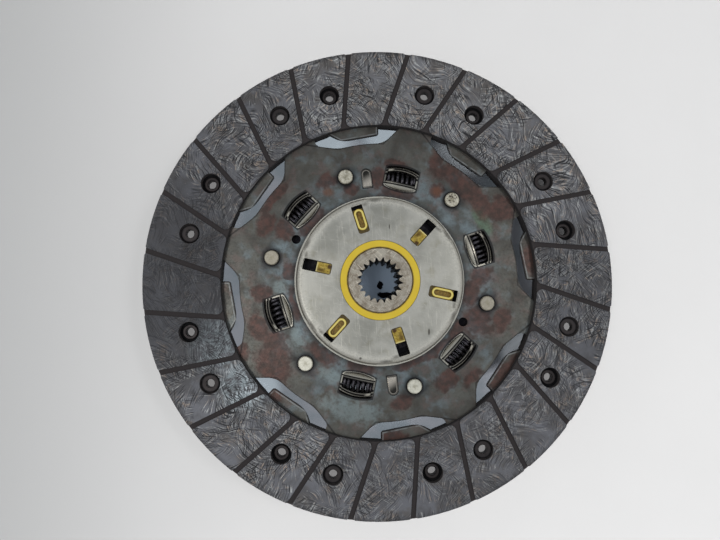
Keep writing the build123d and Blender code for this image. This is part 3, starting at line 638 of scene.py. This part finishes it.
def tempered_sheet():
    material, shader, point = new_finish("tempered_sheet", metallic=0.65)
    radius = radius_of(point)
    moved = point.wander(7.0, 2.6).wander(1.6, 0.5)
    polar = moved.node("ShaderNodeCombineXYZ", {0: angle_of(moved), 1: radius_of(moved)})
    fine = point.noise(0.9, detail=4.0, roughness=0.7)
    cloud = point.noise(14.0, detail=3.0, distortion=0.4)
    tint = point.wander(5.0, 2.0).noise(9.0, detail=3.0)
    patchy = point.noise(3.5, detail=4.0, roughness=0.6)
    grey = cloud.ramp(0.35, 0.65).mix(paint(82, 79, 73), paint(106, 105, 98))
    rosy = point.wander(4.0, 2.0).noise(6.5, detail=3.0).ramp(0.48, 0.68) * 0.45
    blue = tint.ramp(0.4, 0.62).mix(paint(94, 97, 94), paint(132, 146, 150))
    tinted = (radius.ramp(60.0, 50.0) * 0.7).most(tint.ramp(0.5, 0.75) * 0.5).mix(grey, blue)
    pinkish = rosy.mix(tinted, paint(116, 98, 92))
    pale = (polar.blots(*pale_patches) + (patchy - 0.5) * 1.6).ramp(1.3, 0.5) * 0.6
    cool = pale.mix(pinkish, paint(142, 154, 152))
    green = polar.blot(*green_patch).ramp(1.2, 0.5) * 0.6
    greened = green.mix(cool, paint(104, 132, 106))
    olive = (patchy.ramp(0.5, 0.75) * 0.5).mix(greened, paint(84, 76, 64))
    uneven = (patchy - 0.5) * 1.4 + (tint - 0.5)
    brown = (polar.blots(*brown_patches) + uneven).ramp(1.35, 0.75) * 0.78
    maroon = patchy.ramp(0.35, 0.65).mix(paint(70, 52, 46), paint(100, 68, 60))
    rust = point.blots(*rust_spots).ramp(1.5, 0.4) * 0.5
    heated = rust.mix(brown.mix(olive, maroon), paint(126, 74, 40))
    grained = (fine.ramp(0.45, 0.8) * 0.4).mix(heated, paint(60, 56, 52))
    # Dark halos round the pins are painted shade.
    beside, along = fold(point, 6, pin_angle)
    pin = distance(beside - pin_circle, along)
    shadow_reach = distance((beside - pin_circle - 1.4) * 1.549, along * 0.707)
    pin_shade = (pin + (patchy - 0.5) * 2.0).ramp(6.2, 3.9) * 0.8
    halo = pin_shade.most((shadow_reach + (patchy - 0.5) * 3.0).ramp(6.6, 2.8) * 0.6)
    ring = pin.ramp(4.3, 4.0)
    out, across = fold(point, 2, locator_angle)
    hole = distance((out - locator_bend).most(0.0), across).ramp(2.8, 2.5)
    hole = hole * abs(out - locator_circle).ramp(5.1, 4.8)
    beside, along = fold(point, 6, spring_angle)
    arch = 1.6 - (along / 7.6).math("POWER", None, 2.0)
    window = (abs(beside - spring_circle) - arch * 1.3).ramp(4.9, 4.5) * abs(along).ramp(8.7, 8.4)
    out, across = fold(point, 8, paddle_angle)
    heel = past_edge(out, across, (69.18, 3.02), -2.24)
    slit = past_edge(out, across, (69.18, 3.02), -41.3)
    tip = past_edge(out, across, (0, 0), 77.4)
    paddle = heel.least(slit).least(tip)
    ramp = past_edge(out, across, (64.01, -16.67), -148.0)
    shoulder = past_edge(out, across, (65.97, 4.84), 160.0)
    disc = (disc_edge_radius - radius).most(ramp).most(shoulder)
    paddle_line = abs(paddle - 0.05).ramp(0.65, 0.35) * 0.85
    disc_line = abs(disc - 0.05).ramp(0.55, 0.25) * 0.6
    # A pale line along each paddle's edge is a painted highlight.
    edge_highlight = abs(paddle - 0.95).ramp(0.4, 0.15) * patchy.ramp(0.3, 0.6) * 0.6
    # The sheet under the linings and the cap, and beside the cap, is painted dark for the shade
    # there.
    buried = radius.ramp(buried_radius, buried_radius + 1.0)
    under_cap = radius.ramp(cap_radius, cap_radius - 1.0)
    beside_cap = radius.ramp(cap_radius + 3.4, cap_radius + 0.2) * 0.6
    # Dark lines round the pins, holes, windows, paddles and disc are painted shade.
    rim_shade = ring.most(hole * 0.9).most(window * 0.8).most(paddle_line).most(disc_line)
    shade = halo.most(rim_shade).most(buried).most(under_cap).most(beside_cap)
    set_finish(
        shader,
        Base_Color=shade.mix(edge_highlight.mix(grained, paint(156, 158, 156)), paint(24, 23, 24)),
        Roughness=fine.ramp(0.3, 0.7, 0.36, 0.5) + buried * 0.3,
        Normal=(fine * 0.6 + patchy).bump(0.05),
    )
    return material


dress(tempered_sheet(), "cushion_disc")


# ---------------------------------------------------------------- linings
# Friction rings of resin and wound yarn with copper and glass in it. The working face is polished
# blue-grey on the crests of the fibres, and the grooves are full of brown dust.
# Glints and sheen at the lower left, a lighter area at the top, darker areas at the sides, dark
# edges and a dark inner wall are painted light and shade.
lining_face, lining_outer, lining_inner = 3.75, 110.0, 74.2
yarn_turns = (0.2, 0.8, 1.3, 1.75, 2.4)
calm_areas = (((45, -75), (85, 55)), ((-96, 4), (45, 50)))
glint_areas = (((-75, -29), (13, 14)), ((-62, -49), (13, 12)))
# Place and spread of each area of painted shade, then how dark it is painted.
shade_areas = (
    ((-96, 4), (50, 62), 0.72),
    ((98, -8), (40, 50), 0.38),
    ((30, -95), (75, 45), 0.12),
    ((-62, 72), (40, 34), 0.22),
)


def lining():
    material, shader, point = new_finish("lining")
    height, radius = abs(point.part(2)), radius_of(point)
    face = height.ramp(lining_face - 0.3, lining_face)
    drift = point.wander(34.0, 13.0)
    bright = dark = yarn = None
    for turn in yarn_turns:
        laid = drift.stretch(1.0, 1.0, 1.0, turn)
        strand = laid.stretch(1 / 9.0, 1 / 0.52, 1.0).noise(1.0, detail=1.0)
        here = laid.noise(13.0, detail=1.0).ramp(0.46, 0.55)
        above, below = strand.ramp(0.55, 0.66) * here, strand.ramp(0.43, 0.32) * here
        bright = above if bright is None else bright.most(above)
        dark = below if dark is None else dark.most(below)
        yarn = above - below if yarn is None else yarn + above - below
    bare = point.wander(3.0, 1.5).noise(8.0, detail=2.0).ramp(0.56, 0.64)
    grain = point.noise(0.5, detail=2.0, roughness=0.7) - 0.5
    calm = point.blots(*calm_areas).ramp(1.1, 0.5) * 0.4
    broken = point.noise(1.5, detail=3.0, roughness=0.7).ramp(0.36, 0.6, 0.3, 1.0)
    light = bright * broken * (1 - bare * 0.7) * (1 - calm)
    patch = point.noise(10.0, detail=4.0, distortion=0.4)
    slate = patch.ramp(0.35, 0.65).mix(paint(93, 91, 92), paint(120, 120, 124))
    warm = point.noise(7.0, detail=3.0).ramp(0.55, 0.7) * 0.5
    # A lighter area towards the top is painted light.
    lit = point.blot((20, 96), (85, 40)).ramp(1.1, 0.3) * 0.3
    stain = radius.ramp(94.0, 107.0) * point.noise(8.0, detail=3.0).ramp(0.46, 0.62)
    stain = stain * point.part(1).ramp(0.0, 60.0) * 0.6
    warmed = warm.mix(lit.mix(slate, paint(142, 141, 141)), paint(104, 96, 88))
    ground = stain.mix(warmed, paint(86, 78, 70))
    coppery = point.noise(3.0).ramp(0.45, 0.66)
    strand_colour = coppery.mix(paint(216, 216, 212), paint(200, 178, 158))
    # Glints and sheen in two areas at the lower left are painted highlights.
    glint_mask = point.blots(*glint_areas).ramp(1.3, 0.5)
    fleck = point.specks(1.7).ramp(0.15, 0.06) * point.noise(5.0).ramp(0.5, 0.6)
    glint = glint_mask.mix(strand_colour, paint(240, 250, 252))
    sheen = glint_mask * point.wander(2.0, 1.0).noise(2.6, detail=3.0).ramp(0.42, 0.62) * 0.75
    woven = (light * 0.9).most(fleck).mix(sheen.mix(ground, paint(182, 194, 196)), glint)
    shaded = (dark * (1.0 - bare * 0.5) * (1 - calm)).mix(woven, paint(26, 26, 28))
    # Dark outer and inner edges, and darker areas at the sides, are painted shade.
    outer_rim = radius.ramp(lining_outer - 2.5, lining_outer)
    rim = outer_rim.most(radius.ramp(lining_inner + 2.2, lining_inner + 0.2)) * 0.5
    darkened = 0.0
    for place, spread, depth in shade_areas:
        darkened = point.blot(place, spread).ramp(1.1, 0.4) * depth + darkened
    faced = rim.most(darkened).mix(shaded, paint(46, 45, 48))
    # The inner wall is painted dark, for the shade beside the cushion disc.
    inner_wall_shade = radius.ramp(lining_inner + 0.5, lining_inner) * height.ramp(3.9, 3.5) * 0.7
    dusty = (grain + 0.5).mix(paint(52, 47, 47), paint(74, 68, 66))
    dust_and_shade = inner_wall_shade.mix(dusty, paint(24, 22, 22))
    set_finish(
        shader,
        Base_Color=face.mix(dust_and_shade, faced),
        Roughness=1 - face * (0.5 + light * 0.3),
        Normal=((yarn + grain) * face).bump(0.15),
    )
    return material


dress(lining(), "front_lining", "rear_lining")


# ---------------------------------------------------------------- lining rivets
# Tubular rivets of copper alloy, gone dark brown. Each sits sunk in a seat in its own lining and is
# rolled over behind the paddle, where the access hole of the other lining shows it.
rivet_circle, rivet_angles = 91.5, (31.35, 15.3)


def lining_rivet():
    material, shader, point = new_finish("lining_rivet", metallic=0.8)
    cloud = point.noise(1.6, detail=4.0)
    rim_shade = None
    for first in rivet_angles:
        out, across = fold(point, 8, first)
        reach = distance(out - rivet_circle, across)
        # The dark ring round each rivet is painted shade in its seat.
        ring = reach.ramp(3.3, 3.8) * reach.ramp(4.6, 4.4)
        rim_shade = ring if rim_shade is None else rim_shade.most(ring)
    bronze = cloud.mix(paint(44, 40, 40), paint(78, 72, 70))
    set_finish(
        shader,
        Base_Color=(rim_shade * 0.85).mix(bronze, paint(18, 17, 18)),
        Roughness=cloud.ramp(0.3, 0.7, 0.45, 0.6),
        Normal=cloud.bump(0.03),
    )
    return material


dress(lining_rivet(), "front_lining_rivets", "rear_lining_rivets")


# ---------------------------------------------------------------- cap
# Pressed from thin steel sheet, and seated over the idle damper on the cage, whose bosses and
# blocks fill its six slots. It is satin and finely scratched, with yellowish stains.
dent_angle, dent = 34.0, ((37.8, 0), (1.1, 3.4))
smudge = ((36.0, -4.0), (1.0, 2.4))
nick_marks = (
    ((4.3, 25.0), (0.3, 1.2)),
    ((-9.2, -36.1), (0.6, 0.6)),
    ((22.5, -24.0), (0.5, 1.6)),
)


def cap_steel():
    material, shader, point = new_finish("cap_steel", metallic=1.0)
    radius = radius_of(point)
    cloud = point.noise(12.0, detail=5.0, distortion=0.3)
    fine = point.noise(0.7, detail=4.0, roughness=0.7)
    stain = point.wander(4.0, 2.0).noise(7.0, detail=5.0)
    lines = scratches(point, 14.0, 0.25, 1.5) * 0.6 + scratches(point, 9.0, 0.3, 0.2) * 0.4
    lines = lines + scratches(point.wander(20.0, 4.0), 5.0, 0.3, 0.9) * 0.4
    satin = cloud.ramp(0.3, 0.7).mix(paint(172, 169, 157), paint(192, 189, 178))
    yellowed = stain.ramp(0.52, 0.75) * 0.6 + fine.ramp(0.5, 0.8) * 0.3
    stained = yellowed.mix(satin, paint(160, 154, 134))
    # A paler band on the shoulder is a painted highlight.
    face_tone = (radius.ramp(33.0, 37.0) * fine.ramp(0.3, 0.6) * 0.7).mix(stained, paint(216, 212, 200))
    marked = lines.mix(face_tone, paint(214, 210, 198))
    groove = radius.ramp(cap_radius, cap_radius - 0.4) * radius.ramp(38.2, 38.9)
    nearest = None
    for first, mark in ((dent_angle, dent), (slot_angle, smudge)):
        out, across = fold(point, 6, first)
        reach = point.node("ShaderNodeCombineXYZ", {0: out, 1: across}).blot(*mark)
        nearest = reach if nearest is None else nearest.least(reach)
    # The dents are painted dark for the shade in them, and beside each slot is a dark smudge.
    dent_shade_and_smudges = (nearest + (fine - 0.5) * 0.8).ramp(1.3, 0.1) * 0.55
    nicks = point.blots(*nick_marks).ramp(1.2, 0.6) * 0.7
    set_finish(
        shader,
        Base_Color=(groove * 0.5).most(dent_shade_and_smudges).most(nicks).mix(marked, paint(66, 61, 54)),
        Roughness=cloud.ramp(0.3, 0.7, 0.3, 0.4) + fine * 0.06 + radius.ramp(35.0, 37.0) * 0.16,
        Normal=(cloud + lines * 0.2 + fine * 0.15).bump(0.06),
    )
    return material


dress(cap_steel(), "cap")


# ---------------------------------------------------------------- floor, light and camera
# The disc lies on its hub on a white table, under soft light from above and lamps on both sides.
# The floor is painted darker towards the left, and darker and bluer in the disc's shade with paler
# spots; a few drops of oil lie under the bore.
soft_shade = (((-30, 73), (16, 9)), ((-57, -53), (8, 9)), ((6, 76), (12, 7)))
least_shade = (((42, 66), (14, 10)), ((70, -33), (7, 10)))
oil_drops = (((1.6, -1.3), (1.6, 2.0)), ((4.4, -6.3), (4.4, 1.4)))


def table_top():
    material, shader, point = new_finish("table_top")
    cloud = point.noise(40.0, detail=2.0)
    radius = radius_of(point)
    white = cloud.mix(paint(165, 164, 163), paint(168, 167, 166))
    # Darker to the left, and darker and bluer under the disc and in the bore, is painted light and
    # shade.
    left_dimmed = point.part(0).ramp(-230.0, -40.0).mix(paint(140, 140, 139), white)
    under_shade = radius.ramp(lining_outer, lining_outer - 10.0).mix(left_dimmed, paint(112, 111, 111))
    shaded = point.noise(18.0).ramp(0.35, 0.65).mix(paint(96, 103, 109), paint(110, 113, 119))
    lifted = point.blots(*soft_shade).ramp(1.4, 0.6).mix(shaded, paint(136, 145, 152))
    lightest = point.blots(*least_shade).ramp(1.4, 0.6).mix(lifted, paint(170, 176, 182))
    opening = radius.ramp(90.0, 80.0).mix(under_shade, lightest)
    bore = radius.ramp(17.0, 13.0).mix(opening, paint(136, 150, 166))
    oil = (point.blots(*oil_drops) + (point.noise(1.4) - 0.5) * 1.2).ramp(1.15, 0.9)
    set_finish(
        shader,
        Base_Color=oil.mix(bore, paint(10, 10, 14)),
        Roughness=1.0,
        Specular_IOR_Level=0.0,
    )
    return material


table_mesh = bmesh.new()
table_place = Matrix.Translation((0, 0, cad_box[0].z))
bmesh.ops.create_grid(table_mesh, x_segments=1, y_segments=1, size=4.0, matrix=table_place)
table_data = bpy.data.meshes.new("table")
table_mesh.to_mesh(table_data)
table_mesh.free()
table = bpy.data.objects.new("table", table_data)
table_data.materials.append(table_top())
bpy.context.scene.collection.objects.link(table)


def soft_box(name, place, target, size, watts):
    """Square lamp with no visible shape of its own, turned to a point on the part."""
    lamp = bpy.data.lights.new(name, "AREA")
    lamp.size, lamp.energy = size, watts
    holder = bpy.data.objects.new(name, lamp)
    holder.location = place
    holder.rotation_euler = (Vector(target) - Vector(place)).to_track_quat("-Z", "Y").to_euler()
    bpy.context.scene.collection.objects.link(holder)
    return holder


soft_box("right_lamp", (0.53, 0.10, 1.0), (0, 0, 0), 0.2, 1.1)
soft_box("left_lamp", (-0.42, -0.10, 1.0), (0, 0, 0), 0.2, 2.0)

# The table has lamps of its own, so that only the damper in the middle shades it.
lit_table = bpy.data.collections.new("lit_table")
lit_table.objects.link(table)
shading = bpy.data.collections.new("shading")
for name in ("hub", "drive_plate", "counter_plate"):
    shading.objects.link(nodes[name])
for name, place, target, watts, shaders in (
    ("table_lamp", (-2.60, -1.10, 1.30), (-1.96, -1.00, 2.30), 2000.0, shading),
    ("table_fill", (0.60, -0.60, 0.45), (0, 0, 0), 3.6, lit_table),
):
    lamp = soft_box(name, place, target, 0.3, watts)
    lamp.light_linking.receiver_collection = lit_table
    lamp.light_linking.blocker_collection = shaders

world = bpy.data.worlds.new("room")
world.use_nodes = True
room = world.node_tree
direction = Shade(room, room.nodes.new("ShaderNodeTexCoord").outputs["Generated"])
above = direction.part(2).ramp(0.0, 0.8)
room_light = above.mix((1.0, 1.0, 1.0, 1.0), (0.45, 0.49, 0.55, 1.0))
room.links.new(room_light.socket, room.nodes["Background"].inputs["Color"])
room.nodes["Background"].inputs["Strength"].default_value = 0.76
bpy.context.scene.world = world
bpy.context.scene.view_settings.view_transform = "Standard"

camera_data = bpy.data.cameras.new("camera")
camera_data.sensor_width = 36.0
camera_data.lens = 29.16
camera = bpy.data.objects.new("camera", camera_data)
camera.location = (-0.017763, -0.014611, 0.276007)
camera.rotation_euler = (math.radians(4.071), math.radians(-1.766), math.radians(0.054))
bpy.context.scene.collection.objects.link(camera)
bpy.context.scene.camera = camera
